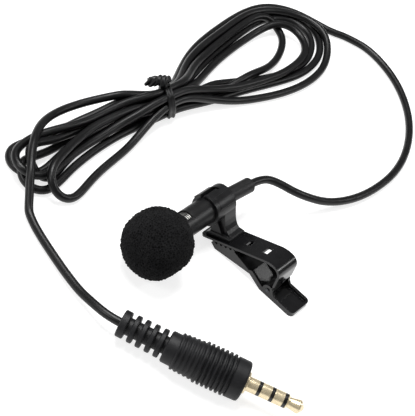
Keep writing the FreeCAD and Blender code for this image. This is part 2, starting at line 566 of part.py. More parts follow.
# ----------------------------------------------------------------------- sums
own = [n for n in made if n not in ("mic_lead", "plug_lead", "lead_hank", "hank_tie") and not n.startswith("plug_")]
bb = None
for n in own:
    b_ = made[n].BoundBox
    if bb is None:
        bb = FreeCAD.BoundBox(b_)
    else:
        bb.add(b_)
print("object box without the lead: x %.4f..%.4f y %.4f..%.4f z %.4f..%.4f centre %.4f %.4f" % (
    bb.XMin, bb.XMax, bb.YMin, bb.YMax, bb.ZMin, bb.ZMax, (bb.XMin + bb.XMax) / 2, (bb.YMin + bb.YMax) / 2))
print("mic axis y %.4f z %.4f (finished frame)" % (MIC_Y + SY, MIC_Z))
pv = CLIP.multVec(un(PIN_U, PIN_N, 0))
print("pivot (finished frame) y %.4f z %.4f" % (pv.y + SY, pv.z))
print("plug face (finished frame) %.4f %.4f %.4f axis %.6f %.6f %.6f" % (PLUG_F.x + SX, PLUG_F.y + SY, PLUG_F.z, PLUG_A.x, PLUG_A.y, PLUG_A.z))
print("parts", len(made))
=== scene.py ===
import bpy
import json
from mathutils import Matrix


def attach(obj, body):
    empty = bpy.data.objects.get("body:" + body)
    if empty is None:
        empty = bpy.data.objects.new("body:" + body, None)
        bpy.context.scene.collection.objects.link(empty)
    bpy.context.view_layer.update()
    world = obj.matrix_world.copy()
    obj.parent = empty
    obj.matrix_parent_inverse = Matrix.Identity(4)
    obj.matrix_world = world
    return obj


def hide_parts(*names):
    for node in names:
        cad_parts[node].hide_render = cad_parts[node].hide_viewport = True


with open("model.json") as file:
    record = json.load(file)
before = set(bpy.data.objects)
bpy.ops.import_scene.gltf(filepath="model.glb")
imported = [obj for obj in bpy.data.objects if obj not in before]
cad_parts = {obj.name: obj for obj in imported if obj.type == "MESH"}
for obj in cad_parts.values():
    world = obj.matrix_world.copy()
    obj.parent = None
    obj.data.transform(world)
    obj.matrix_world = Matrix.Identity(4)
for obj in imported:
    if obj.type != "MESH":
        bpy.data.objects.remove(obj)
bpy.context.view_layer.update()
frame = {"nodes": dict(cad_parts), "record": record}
import bpy, bmesh, json, math, random
from mathutils import Vector, Matrix, noise

MM = 0.001
random.seed(11)

# --------------------------------------------------------------- camera
cam_data = bpy.data.cameras.new("camera")
cam = bpy.data.objects.new("camera", cam_data)
bpy.context.scene.collection.objects.link(cam)
right = Vector((0.6149613, -0.7162224, 0.3299213))
up = Vector((0.4141445, 0.6493861, 0.6377947))
back = Vector((-0.6710491, -0.2555840, 0.6959669))
m = Matrix.Identity(4)
for i in range(3):
    m[i][0], m[i][1], m[i][2] = right[i], up[i], back[i]
m[0][3], m[1][3], m[2][3] = -0.2234903, -0.0754849, 0.2469544
cam.matrix_world = m
cam_data.sensor_fit = "HORIZONTAL"
cam_data.sensor_width = 36.0
cam_data.lens = 121.446
cam_data.clip_start = 0.005
cam_data.clip_end = 10.0
bpy.context.scene.camera = cam

# ----------------------------------------------------------- node helpers
def new_mat(name):
    mat = bpy.data.materials.new(name)
    mat.use_nodes = True
    nt = mat.node_tree
    nt.nodes.clear()
    out = nt.nodes.new("ShaderNodeOutputMaterial")
    sh = nt.nodes.new("ShaderNodeBsdfPrincipled")
    nt.links.new(sh.outputs["BSDF"], out.inputs["Surface"])
    return mat, nt, sh


def coords(nt, stretch=(1, 1, 1)):
    tc = nt.nodes.new("ShaderNodeTexCoord")
    mp = nt.nodes.new("ShaderNodeMapping")
    mp.inputs["Scale"].default_value = stretch
    nt.links.new(tc.outputs["Object"], mp.inputs["Vector"])
    return mp.outputs["Vector"]


def noise_tex(nt, vec, scale, detail=4.0, rough=0.6):
    n = nt.nodes.new("ShaderNodeTexNoise")
    n.inputs["Scale"].default_value = scale
    n.inputs["Detail"].default_value = detail
    n.inputs["Roughness"].default_value = rough
    nt.links.new(vec, n.inputs["Vector"])
    return n.outputs["Fac"]


def ramp(nt, fac, stops):
    r = nt.nodes.new("ShaderNodeValToRGB")
    cr = r.color_ramp
    while len(cr.elements) < len(stops):
        cr.elements.new(0.5)
    for e, (p, c) in zip(cr.elements, stops):
        e.position = p
        e.color = (c[0], c[1], c[2], 1.0) if not isinstance(c, float) else (c, c, c, 1.0)
    nt.links.new(fac, r.inputs["Fac"])
    return r.outputs["Color"]


def math_node(nt, op, a, b):
    n = nt.nodes.new("ShaderNodeMath")
    n.operation = op
    for k, v in enumerate((a, b)):
        if isinstance(v, (int, float)):
            n.inputs[k].default_value = v
        else:
            nt.links.new(v, n.inputs[k])
    return n.outputs[0]


def bump(nt, sh, height, dist, strength=0.5, edge=0.0):
    b = nt.nodes.new("ShaderNodeBump")
    b.inputs["Strength"].default_value = strength
    b.inputs["Distance"].default_value = dist
    nt.links.new(height, b.inputs["Height"])
    if edge > 0:
        bv = nt.nodes.new("ShaderNodeBevel")
        bv.samples = 4
        bv.inputs["Radius"].default_value = edge
        nt.links.new(bv.outputs["Normal"], b.inputs["Normal"])
    nt.links.new(b.outputs["Normal"], sh.inputs["Normal"])


def shade(c, k):
    return tuple(min(1.0, v * k) for v in c)


def moulded(name, colour, rough, grain=9000.0, depth=0.00003, strength=0.35, patch=450.0, coat=0.0, coat_rough=0.1,
            metal=0.0, spec=0.5, edge=0.00012, vary=0.25, rough_vary=0.08, sheen=0.0):
    """Solid moulded, lacquered or metal surface: slow colour patches, fine grain in bump and gloss."""
    mat, nt, sh = new_mat(name)
    v = coords(nt)
    slow = noise_tex(nt, v, patch, 5.0)
    fine = noise_tex(nt, v, grain, 3.0, 0.55)
    col = ramp(nt, slow, [(0.3, shade(colour, 1 - vary)), (0.7, shade(colour, 1 + vary))])
    nt.links.new(col, sh.inputs["Base Color"])
    mixf = math_node(nt, "ADD", math_node(nt, "MULTIPLY", slow, 0.6), math_node(nt, "MULTIPLY", fine, 0.4))
    r = ramp(nt, mixf, [(0.3, max(0.02, rough - rough_vary)), (0.7, min(1.0, rough + rough_vary))])
    nt.links.new(r, sh.inputs["Roughness"])
    sh.inputs["Metallic"].default_value = metal
    sh.inputs["Specular IOR Level"].default_value = spec
    if coat:
        sh.inputs["Coat Weight"].default_value = coat
        sh.inputs["Coat Roughness"].default_value = coat_rough
    if sheen:
        sh.inputs["Sheen Weight"].default_value = sheen
        sh.inputs["Sheen Roughness"].default_value = 0.5
    bump(nt, sh, fine, depth, strength, edge)
    mat.diffuse_color = (colour[0], colour[1], colour[2], 1)
    return mat


def brushed(name, colour, rough, stretch=(1, 40, 40), scale=180.0, depth=0.00001, edge=0.00008, metal=1.0):
    mat, nt, sh = new_mat(name)
    v = coords(nt, stretch)
    lines = noise_tex(nt, v, scale, 4.0, 0.65)
    slow = noise_tex(nt, coords(nt), 500.0, 3.0)
    col = ramp(nt, slow, [(0.3, shade(colour, 0.86)), (0.7, shade(colour, 1.1))])
    nt.links.new(col, sh.inputs["Base Color"])
    r = ramp(nt, lines, [(0.3, max(0.03, rough - 0.07)), (0.7, rough + 0.1)])
    nt.links.new(r, sh.inputs["Roughness"])
    sh.inputs["Metallic"].default_value = metal
    bump(nt, sh, lines, depth, 0.3, edge)
    mat.diffuse_color = (colour[0], colour[1], colour[2], 1)
    return mat


def woven(name, colour, pitch=0.00055):
    """Fine woven steel mesh: crossed wires as bump; gaps painted near-black as painted shade, wire crests painted
    lighter as painted highlight.
    """
    mat, nt, sh = new_mat(name)
    v = coords(nt)
    waves = []
    for axis in ("X", "Z"):
        w = nt.nodes.new("ShaderNodeTexWave")
        w.wave_type = "BANDS"
        w.bands_direction = axis
        w.inputs["Scale"].default_value = 1.0 / pitch / 3.2
        w.inputs["Distortion"].default_value = 0.4
        w.inputs["Detail"].default_value = 1.0
        nt.links.new(v, w.inputs["Vector"])
        waves.append(w.outputs["Fac"])
    h = math_node(nt, "MAXIMUM", waves[0], waves[1])
    # painted shade in the gaps (0.02) and painted highlight on the wire crests (up to 1.15 x steel colour)
    col = ramp(nt, h, [(0.30, (0.02, 0.02, 0.02)), (0.6, shade(colour, 0.7)), (0.95, shade(colour, 1.15))])
    nt.links.new(col, sh.inputs["Base Color"])
    r = ramp(nt, noise_tex(nt, v, 2500.0), [(0.3, 0.26), (0.7, 0.4)])
    nt.links.new(r, sh.inputs["Roughness"])
    sh.inputs["Metallic"].default_value = 1.0
    bump(nt, sh, h, 0.00008, 0.8)
    return mat


def foam_material(name):
    """Open-cell foam: cell hollows painted darker as painted shade, struts slightly lighter, no gloss."""
    mat, nt, sh = new_mat(name)
    v = coords(nt)
    vo = nt.nodes.new("ShaderNodeTexVoronoi")
    vo.feature = "DISTANCE_TO_EDGE"
    vo.inputs["Scale"].default_value = 1750.0
    nt.links.new(v, vo.inputs["Vector"])
    cells = vo.outputs["Distance"]
    fine = noise_tex(nt, v, 5200.0, 4.0, 0.7)
    slow = noise_tex(nt, v, 260.0, 3.0)
    # painted shade: colour falls from the struts' near-black to almost black in the cell hollows
    pore_shade_ramp = ramp(nt, cells, [(0.03, (0.0120, 0.0120, 0.0125)), (0.20, (0.0028, 0.0028, 0.0030)), (0.5, (0.0006, 0.0006, 0.0006))])
    tint = ramp(nt, slow, [(0.3, (0.75, 0.75, 0.76)), (0.7, (1.2, 1.2, 1.2))])
    mx = nt.nodes.new("ShaderNodeMix")
    mx.data_type = "RGBA"
    mx.blend_type = "MULTIPLY"
    mx.inputs[0].default_value = 1.0
    nt.links.new(pore_shade_ramp, mx.inputs[6])
    nt.links.new(tint, mx.inputs[7])
    nt.links.new(mx.outputs[2], sh.inputs["Base Color"])
    r = ramp(nt, fine, [(0.3, 0.86), (0.7, 1.0)])
    nt.links.new(r, sh.inputs["Roughness"])
    sh.inputs["Specular IOR Level"].default_value = 0.05
    sh.inputs["Sheen Weight"].default_value = 0.012
    sh.inputs["Sheen Roughness"].default_value = 0.6
    inv = math_node(nt, "SUBTRACT", 1.0, cells)
    h = math_node(nt, "ADD", inv, math_node(nt, "MULTIPLY", fine, 0.5))
    bump(nt, sh, h, 0.00022, 0.9)
    return mat


def cord_material(name, colour, rough):
    """Soft PVC jacket: satin, with slow gloss changes and very fine drawn grain."""
    mat, nt, sh = new_mat(name)
    v = coords(nt)
    slow = noise_tex(nt, v, 160.0, 4.0)
    fine = noise_tex(nt, v, 7000.0, 3.0, 0.5)
    col = ramp(nt, slow, [(0.3, shade(colour, 0.8)), (0.7, shade(colour, 1.2))])
    nt.links.new(col, sh.inputs["Base Color"])
    r = ramp(nt, math_node(nt, "ADD", math_node(nt, "MULTIPLY", slow, 0.7), math_node(nt, "MULTIPLY", fine, 0.3)),
             [(0.3, rough - 0.07), (0.7, rough + 0.08)])
    nt.links.new(r, sh.inputs["Roughness"])
    sh.inputs["Specular IOR Level"].default_value = 0.27
    bump(nt, sh, fine, 0.00002, 0.25)
    return mat


def board_material(name):
    mat, nt, sh = new_mat(name)
    v = coords(nt)
    slow = noise_tex(nt, v, 900.0, 2.0)
    col = ramp(nt, slow, [(0.45, (0.02, 0.12, 0.05)), (0.5, (0.05, 0.26, 0.11)), (0.7, (0.04, 0.2, 0.09))])
    nt.links.new(col, sh.inputs["Base Color"])
    nt.links.new(ramp(nt, slow, [(0.3, 0.3), (0.7, 0.5)]), sh.inputs["Roughness"])
    bump(nt, sh, slow, 0.00003, 0.4)
    return mat


MATS = {
    "foam": foam_material("foam_black"),
    "plastic_barrel": moulded("barrel_black", (0.0052, 0.0052, 0.0056), 0.36, rough_vary=0.05, spec=0.32),
    "plastic_holder": moulded("holder_black", (0.0045, 0.0045, 0.005), 0.33, rough_vary=0.06, edge=0.00018, spec=0.30),
    "mesh": woven("mesh_steel", (0.34, 0.335, 0.32)),
    "black_steel": moulded("enamel_black", (0.003, 0.003, 0.0035), 0.22, grain=2600.0, depth=0.00002, strength=0.25,
                           coat=0.22, coat_rough=0.09, spec=0.34, edge=0.00016, rough_vary=0.05),
    "pin_steel": brushed("pin_dark", (0.06, 0.06, 0.065), 0.30),
    "spring_steel": brushed("spring_dark", (0.24, 0.24, 0.25), 0.28),
    "lead_pvc": cord_material("lead_black", (0.0036, 0.0036, 0.0039), 0.37),
    "relief_rubber": moulded("relief_black", (0.006, 0.006, 0.0065), 0.46, grain=6000.0, edge=0.0001, spec=0.3),
    "grip_rubber": moulded("grip_black", (0.0058, 0.0059, 0.0068), 0.50, spec=0.27, grain=5200.0, depth=0.00005, strength=0.45, edge=0.00012,
                           sheen=0.012),
    "tie_pvc": moulded("tie_black", (0.0048, 0.0048, 0.0052), 0.40, spec=0.29, grain=5000.0, edge=0.0),
    "contact": moulded("contact_gold", (0.80, 0.68, 0.46), 0.27, grain=2500.0, depth=0.000003, strength=0.1, patch=700.0, metal=0.72,
                       vary=0.07, rough_vary=0.05, edge=0.00006),
    "insulator": moulded("insulator_black", (0.006, 0.005, 0.0045), 0.28, edge=0.00005),
    "aluminium_can": brushed("can_aluminium", (0.72, 0.72, 0.73), 0.3),
    "felt": moulded("felt_black", (0.02, 0.02, 0.02), 0.95, grain=4000.0, depth=0.0001, strength=0.9, spec=0.1, edge=0.0),
    "board": board_material("board_green"),
    "wire_red": moulded("wire_red", (0.5, 0.03, 0.02), 0.35, edge=0.0),
    "wire_bare": brushed("wire_copper", (0.75, 0.42, 0.26), 0.25),
    "premould": moulded("premould_natural", (0.6, 0.59, 0.54), 0.45, edge=0.0),
    "crimp": brushed("crimp_brass", (0.66, 0.54, 0.32), 0.3),
}

slots = {}
for part in frame["record"].get("parts", frame["record"].get("nodes", [])):
    if isinstance(part, dict):
        nm = part.get("node") or part.get("name")
        if nm and part.get("material_slot"):
            slots[nm] = part["material_slot"]


def paint(obj, mat):
    obj.data.materials.clear()
    obj.data.materials.append(mat)


NODE_SLOTS = {
    "foam_windscreen": "foam", "mic_barrel": "plastic_barrel", "head_cage": "plastic_barrel", "grille_mesh": "mesh",
    "capsule_can": "aluminium_can", "capsule_felt": "felt", "capsule_board": "board", "capsule_gasket": "relief_rubber",
    "signal_wire": "wire_red", "shield_wire": "wire_bare", "lead_end": "lead_pvc", "cable_crimp": "crimp",
    "strain_relief": "relief_rubber", "clip_holder": "plastic_holder", "upper_jaw": "black_steel", "lower_lever": "black_steel",
    "pivot_pin": "pin_steel", "torsion_spring": "spring_steel", "mic_lead": "lead_pvc", "plug_lead": "lead_pvc",
    "lead_hank": "lead_pvc", "hank_tie": "tie_pvc", "plug_overmould": "grip_rubber", "plug_premould": "premould",
    "plug_sleeve": "contact", "plug_ring_1": "contact", "plug_ring_2": "contact", "plug_tip": "contact",
    "plug_insulator_1": "insulator", "plug_insulator_2": "insulator", "plug_insulator_3": "insulator", "plug_core": "insulator",
}
NODE_SLOTS.update(slots)
for name, o in frame["nodes"].items():
    mat = MATS[NODE_SLOTS.get(name, "plastic_barrel")]
    if o.material_slots:
        for s in o.material_slots:
            s.material = mat
    else:
        o.data.materials.append(mat)

# small real chamfers on the carried-over parts, for edges that catch the light
for name, w in (("upper_jaw", 0.00010), ("clip_holder", 0.00014), ("lower_lever", 0.00007), ("plug_overmould", 0.0),
                ("mic_barrel", 0.00012), ("head_cage", 0.00006)):
    if w > 0:
        o = frame["nodes"][name]
        b = o.modifiers.new("edge", "BEVEL")
        b.width = w
        b.segments = 2
        b.limit_method = "ANGLE"
        b.angle_limit = math.radians(38)
        b.harden_normals = False
        b.use_clamp_overlap = True

# ------------------------------------------------------------------- cord
ROUTE = [
    (22.18, 10.89, 8.70), (26.07, 10.55, 8.70), (29.92, 8.59, 8.10), (34.52, 1.49, 6.00), (44.22, -4.11, 2.10), (57.77, -7.91, 1.17),
    (75.62, -7.41, 1.17), (92.37, 0.39, 1.17), (103.77, 13.09, 1.17), (107.92, 26.99, 1.17), (105.23, 35.25, 1.11), (103.12, 38.41, 1.10),
    (102.10, 40.34, 1.11), (101.34, 42.45, 1.10), (100.59, 44.72, 1.11), (99.80, 47.00, 1.11), (98.91, 49.24, 1.11), (97.76, 51.35, 1.11),
    (96.32, 53.28, 1.11), (94.63, 54.99, 1.11), (92.70, 56.42, 1.11), (90.55, 57.50, 1.11), (88.27, 58.26, 1.11), (85.91, 58.74, 1.11),
    (83.52, 59.01, 1.10), (81.12, 59.12, 1.11), (78.72, 59.12, 1.10), (76.32, 59.03, 1.11), (73.92, 58.89, 1.10), (71.52, 58.71, 1.11),
    (69.13, 58.49, 1.10), (66.74, 58.25, 1.11), (64.36, 57.98, 1.10), (61.98, 57.65, 1.11), (59.61, 57.26, 1.10), (57.25, 56.78, 1.11),
    (54.92, 56.20, 1.10), (52.62, 55.52, 1.11), (50.35, 54.72, 1.10), (48.13, 53.81, 1.12), (45.93, 52.85, 1.25), (43.76, 51.86, 1.52),
    (41.61, 50.86, 1.91), (39.47, 49.86, 2.39), (37.30, 48.98, 2.92), (35.03, 48.34, 3.42), (32.66, 48.12, 3.67), (30.27, 48.29, 3.71),
    (27.89, 48.66, 3.72), (25.54, 49.16, 3.81), (23.21, 49.72, 3.98), (20.89, 50.30, 4.24), (18.58, 50.89, 4.53), (16.21, 51.32, 4.69),
    (13.84, 51.58, 4.49), (11.48, 51.88, 4.11), (9.14, 52.25, 3.69), (6.82, 52.68, 3.29), (4.50, 53.12, 2.86), (2.18, 53.50, 2.33),
    (-0.14, 53.89, 1.85), (-2.48, 54.29, 1.48), (-4.83, 54.72, 1.23), (-7.19, 55.16, 1.11), (-9.55, 55.60, 1.10), (-11.92, 56.05, 1.11),
    (-14.33, 56.39, 1.10), (-16.74, 56.16, 1.11), (-18.77, 54.88, 1.10), (-19.92, 52.72, 1.11), (-19.85, 50.29, 1.10), (-18.62, 48.20, 1.11),
    (-16.52, 47.04, 1.10), (-14.12, 46.80, 1.25), (-11.72, 47.07, 1.53), (-9.36, 47.45, 1.90), (-7.02, 47.81, 2.30), (-4.66, 48.07, 2.64),
    (-2.28, 48.23, 2.88), (0.12, 48.32, 3.02), (2.52, 48.33, 3.10), (4.92, 48.26, 3.16), (7.33, 48.19, 3.18), (9.72, 48.12, 3.15),
    (12.12, 47.91, 3.15), (14.49, 47.56, 3.17), (16.84, 47.05, 3.23), (19.16, 46.43, 3.26), (21.48, 45.78, 3.22), (23.80, 45.16, 3.24),
    (26.13, 44.62, 3.35), (28.49, 44.19, 3.54), (30.87, 43.89, 3.66), (33.25, 43.58, 3.66), (35.64, 43.31, 3.56), (38.03, 43.18, 3.44),
    (40.43, 43.16, 3.33), (42.83, 43.22, 3.21), (45.22, 43.28, 2.96), (47.59, 43.28, 2.55), (49.94, 43.13, 2.06), (52.25, 42.71, 1.56),
    (54.54, 42.06, 1.22), (56.78, 41.22, 1.10), (59.00, 40.29, 1.11), (61.20, 39.33, 1.10), (63.43, 38.44, 1.11), (65.70, 37.64, 1.11),
    (67.99, 36.93, 1.11), (70.32, 36.31, 1.11), (72.66, 35.80, 1.11), (75.03, 35.39, 1.11), (77.42, 35.13, 1.11), (79.82, 35.06, 1.11),
    (82.22, 35.24, 1.11), (84.58, 35.71, 1.11), (86.87, 36.45, 1.11), (89.06, 37.46, 1.11), (91.09, 38.76, 1.11), (92.87, 40.39, 1.11),
    (94.22, 42.40, 1.11), (94.88, 44.72, 1.11), (94.69, 47.13, 1.10), (93.66, 49.31, 1.11), (92.00, 51.08, 1.11), (89.97, 52.39, 1.11),
    (87.74, 53.30, 1.10), (85.40, 53.88, 1.11), (83.00, 54.06, 1.10), (80.59, 54.09, 1.11), (78.19, 54.00, 1.10), (75.79, 53.84, 1.11),
    (73.40, 53.62, 1.10), (71.02, 53.35, 1.11), (68.63, 53.06, 1.10), (66.25, 52.78, 1.11), (63.86, 52.51, 1.10), (61.48, 52.21, 1.11),
    (59.10, 51.88, 1.10), (56.73, 51.47, 1.14), (54.39, 50.98, 1.30), (52.07, 50.42, 1.57), (49.77, 49.80, 1.94), (47.49, 49.16, 2.33),
    (45.20, 48.54, 2.69), (42.89, 47.94, 2.92), (40.56, 47.35, 3.06), (38.24, 46.75, 3.22), (35.90, 46.24, 3.45), (33.52, 45.97, 3.63),
    (31.12, 46.04, 3.68), (28.73, 46.33, 3.62), (26.37, 46.77, 3.50), (24.04, 47.32, 3.38), (21.72, 47.95, 3.33), (19.44, 48.71, 3.30),
    (17.22, 49.59, 3.12), (15.05, 50.52, 2.65), (12.82, 51.27, 2.12), (10.52, 51.79, 1.62), (8.17, 52.04, 1.24), (5.77, 51.99, 1.10),
    (3.38, 51.70, 1.11), (1.01, 51.34, 1.11), (-1.37, 51.00, 1.10), (-3.76, 50.75, 1.12), (-6.16, 50.61, 1.23), (-8.55, 50.56, 1.46),
    (-10.92, 50.58, 1.78), (-13.30, 50.70, 2.18), (-15.67, 50.89, 2.65), (-18.09, 50.81, 3.09), (-20.18, 49.71, 3.31), (-21.51, 47.82, 2.35),
    (-21.75, 45.47, 1.78), (-20.73, 43.31, 1.27), (-18.77, 41.94, 1.10), (-16.37, 41.65, 1.11), (-13.95, 41.97, 1.10), (-11.58, 42.44, 1.11),
    (-9.24, 42.99, 1.11), (-6.88, 43.45, 1.11), (-4.51, 43.82, 1.10), (-2.13, 44.13, 1.11), (0.26, 44.37, 1.10), (2.66, 44.57, 1.11),
    (5.05, 44.70, 1.10), (7.45, 44.78, 1.11), (9.86, 44.80, 1.11), (12.26, 44.75, 1.11), (14.66, 44.64, 1.10), (17.05, 44.46, 1.11),
    (19.45, 44.28, 1.10), (21.84, 44.04, 1.15), (24.22, 43.75, 1.28), (26.59, 43.45, 1.48), (28.97, 43.14, 1.66), (31.34, 42.79, 1.79),
    (33.71, 42.39, 1.79), (36.06, 41.93, 1.64), (38.41, 41.45, 1.42), (40.74, 40.93, 1.23), (43.08, 40.37, 1.13), (45.41, 39.81, 1.10),
    (47.75, 39.25, 1.11), (50.10, 38.77, 1.10), (52.46, 38.34, 1.11), (54.82, 37.85, 1.10), (57.16, 37.31, 1.11), (59.49, 36.74, 1.10),
    (61.82, 36.15, 1.11), (64.15, 35.56, 1.10), (66.48, 34.98, 1.11), (68.81, 34.43, 1.10), (71.16, 33.90, 1.11), (73.52, 33.44, 1.10),
    (75.89, 33.08, 1.11), (78.29, 32.89, 1.10), (80.69, 32.89, 1.11), (83.08, 33.09, 1.11), (85.46, 33.48, 1.11), (87.78, 34.09, 1.11),
    (90.02, 34.97, 1.11), (92.12, 36.14, 1.11), (94.02, 37.62, 1.11), (95.69, 39.38, 1.11), (97.00, 41.41, 1.11), (97.73, 43.70, 1.11),
    (97.70, 46.11, 1.11), (96.94, 48.40, 1.11), (95.71, 50.48, 1.11), (94.08, 52.26, 1.11), (92.14, 53.69, 1.11), (89.99, 54.78, 1.11),
    (87.72, 55.56, 1.10), (85.36, 56.06, 1.11), (82.97, 56.26, 1.11), (80.56, 56.28, 1.11), (78.16, 56.20, 1.11), (75.76, 56.04, 1.11),
    (73.37, 55.83, 1.11), (70.98, 55.61, 1.11), (68.59, 55.38, 1.11), (66.20, 55.13, 1.11), (63.82, 54.84, 1.11), (61.44, 54.49, 1.11),
    (59.07, 54.11, 1.11), (56.70, 53.69, 1.11), (54.35, 53.20, 1.10), (52.02, 52.61, 1.11), (49.73, 51.91, 1.11), (47.47, 51.09, 1.11),
    (45.25, 50.17, 1.10), (43.03, 49.24, 1.11), (40.78, 48.41, 1.10), (38.47, 47.75, 1.19), (36.12, 47.28, 1.44), (33.74, 47.07, 1.70),
    (31.35, 47.17, 1.80), (28.97, 47.49, 1.73), (26.60, 47.83, 1.53), (24.23, 48.16, 1.30), (21.85, 48.44, 1.15), (19.45, 48.64, 1.10),
    (17.05, 48.77, 1.11), (14.66, 49.00, 1.10), (12.28, 49.31, 1.24), (9.93, 49.64, 1.57), (7.60, 50.03, 2.03), (5.28, 50.33, 2.57),
    (2.93, 50.54, 3.02), (0.55, 50.79, 3.24), (-1.84, 51.02, 3.31), (-4.23, 51.21, 3.45), (-6.60, 51.37, 3.76), (-8.94, 51.61, 4.26),
    (-11.26, 51.99, 4.88), (-13.63, 52.29, 5.31), (-15.95, 51.72, 5.38), (-17.63, 50.01, 5.14), (-18.31, 47.92, 4.05), (-17.83, 45.95, 2.64),
    (-16.22, 44.57, 1.52), (-13.92, 44.18, 1.10), (-11.53, 44.65, 1.11), (-9.21, 45.36, 1.10), (-6.89, 45.99, 1.11), (-4.54, 46.51, 1.11),
    (-2.18, 46.93, 1.11), (0.21, 47.24, 1.10), (2.60, 47.43, 1.11), (5.00, 47.51, 1.10), (7.40, 47.48, 1.11), (9.80, 47.35, 1.10),
    (12.19, 47.12, 1.11), (14.58, 46.84, 1.10), (16.97, 46.61, 1.11), (19.37, 46.47, 1.10), (21.76, 46.26, 1.11), (24.14, 45.98, 1.23),
    (26.51, 45.67, 1.45), (28.88, 45.33, 1.68), (31.26, 45.01, 1.78), (33.63, 44.61, 1.74), (35.98, 44.17, 1.55), (38.32, 43.68, 1.30),
    (40.66, 43.17, 1.13), (43.00, 42.62, 1.10), (45.34, 42.06, 1.11), (47.66, 41.49, 1.22), (49.98, 40.94, 1.55), (52.29, 40.49, 2.01),
    (54.62, 40.16, 2.53), (56.96, 39.89, 3.00), (59.34, 39.71, 3.28), (61.74, 39.60, 3.25), (64.12, 39.52, 2.92), (66.48, 39.49, 2.45),
    (68.84, 39.57, 1.99), (71.20, 39.79, 1.61), (73.55, 40.19, 1.32), (75.88, 40.77, 1.15), (78.15, 41.54, 1.10), (80.35, 42.52, 1.11),
    (82.46, 43.69, 1.10), (84.41, 45.14, 1.11), (85.98, 46.99, 1.10), (86.78, 49.28, 1.27), (86.44, 51.45, 2.26), (85.03, 53.17, 3.21),
    (82.90, 54.28, 3.45), (80.50, 54.69, 3.42), (78.08, 54.78, 3.27), (75.68, 54.69, 3.16), (73.29, 54.52, 3.10), (70.90, 54.29, 3.08),
    (68.51, 54.04, 3.06), (66.12, 53.77, 3.06), (63.74, 53.48, 3.06), (61.36, 53.16, 3.07), (58.98, 52.81, 3.08), (56.61, 52.41, 3.12),
    (54.25, 51.96, 3.25), (51.92, 51.46, 3.49), (49.61, 50.88, 3.84), (47.35, 50.18, 4.26), (45.14, 49.37, 4.71), (42.96, 48.48, 5.21),
    (40.81, 47.60, 5.80), (38.62, 46.82, 6.44), (36.36, 46.24, 7.01), (34.00, 46.00, 7.36), (31.60, 46.04, 7.47), (29.20, 46.25, 7.47),
    (26.81, 46.52, 7.47), (24.45, 46.97, 7.42), (22.14, 47.58, 7.26), (19.87, 48.35, 7.00), (17.61, 49.09, 6.67), (15.31, 49.64, 6.27),
    (12.96, 50.01, 5.89), (10.59, 50.26, 5.58), (8.21, 50.44, 5.37), (5.81, 50.62, 5.26), (3.43, 50.87, 5.27), (1.05, 51.22, 5.34),
    (-1.31, 51.69, 5.38), (-3.64, 52.26, 5.35), (-5.95, 52.92, 5.24), (-8.25, 53.57, 5.04), (-10.59, 54.10, 4.81), (-12.98, 54.33, 4.66),
    (-15.39, 54.19, 4.63), (-17.79, 53.73, 4.70), (-19.96, 52.65, 4.81), (-21.43, 50.74, 4.88), (-21.84, 48.33, 4.83), (-20.90, 46.13, 4.24),
    (-19.07, 44.55, 4.13), (-16.72, 44.04, 3.93), (-14.31, 44.31, 3.64), (-11.94, 44.73, 3.42), (-9.57, 45.11, 3.30), (-7.19, 45.43, 3.24),
    (-4.81, 45.71, 3.17), (-2.42, 45.94, 3.08), (-0.02, 46.09, 3.00), (2.38, 46.14, 3.02), (4.78, 46.09, 3.17), (7.16, 46.04, 3.44),
    (9.54, 46.02, 3.79), (11.90, 45.91, 4.23), (14.23, 45.65, 4.75), (16.53, 45.31, 5.35), (18.84, 45.05, 5.96), (21.17, 44.87, 6.49),
    (23.53, 44.68, 6.90), (25.91, 44.45, 7.19), (28.29, 44.18, 7.40), (30.68, 43.95, 7.49), (33.06, 43.65, 7.46), (35.40, 43.23, 7.14),
    (37.67, 42.77, 6.51), (39.91, 42.27, 5.78), (42.15, 41.73, 5.10), (44.40, 41.15, 4.50), (46.67, 40.51, 4.02), (48.94, 39.81, 3.67),
    (51.22, 39.07, 3.47), (53.51, 38.37, 3.35), (55.84, 37.78, 3.29), (58.18, 37.23, 3.27), (60.52, 36.72, 3.27), (62.87, 36.23, 3.26),
    (65.24, 35.81, 3.23), (67.61, 35.45, 3.17), (70.00, 35.20, 3.14), (72.40, 35.06, 3.18), (74.80, 35.08, 3.25), (77.20, 35.27, 3.27),
    (79.57, 35.64, 3.20), (81.91, 36.21, 3.02), (84.16, 37.04, 2.80), (86.24, 38.27, 2.64), (87.97, 39.96, 2.60), (89.07, 42.12, 2.72),
    (89.27, 44.51, 2.99), (88.46, 46.77, 3.29), (86.79, 48.51, 3.53), (84.73, 49.75, 3.25), (82.52, 50.53, 2.67), (80.21, 50.94, 2.13),
    (77.85, 51.13, 1.68), (75.47, 51.16, 1.36), (73.07, 51.10, 1.17), (70.67, 50.97, 1.10), (68.28, 50.78, 1.10), (65.89, 50.54, 1.10),
    (63.50, 50.26, 1.11), (61.12, 49.96, 1.10), (58.74, 49.61, 1.11), (56.38, 49.19, 1.10), (54.03, 48.69, 1.12), (51.70, 48.13, 1.26),
    (49.40, 47.50, 1.56), (47.13, 46.85, 2.02), (44.89, 46.21, 2.61), (42.65, 45.66, 3.29), (40.40, 45.25, 4.00), (38.10, 45.01, 4.67),
    (35.76, 44.88, 5.22), (33.38, 44.85, 5.53), (30.99, 44.97, 5.58), (28.59, 45.21, 5.49), (26.22, 45.58, 5.34), (23.88, 46.08, 5.24),
    (21.54, 46.62, 5.23), (19.18, 47.11, 5.31), (16.81, 47.47, 5.35), (14.42, 47.74, 5.34), (12.03, 47.96, 5.32), (9.64, 48.15, 5.32),
    (7.24, 48.29, 5.33), (4.84, 48.31, 5.32), (2.44, 48.21, 5.28), (0.05, 47.96, 5.27), (-2.33, 47.60, 5.35), (-4.68, 47.13, 5.50),
    (-7.01, 46.58, 5.69), (-9.32, 45.98, 5.91), (-11.64, 45.35, 6.12), (-13.96, 44.65, 6.26), (-16.19, 43.69, 6.12), (-17.92, 42.21, 5.35),
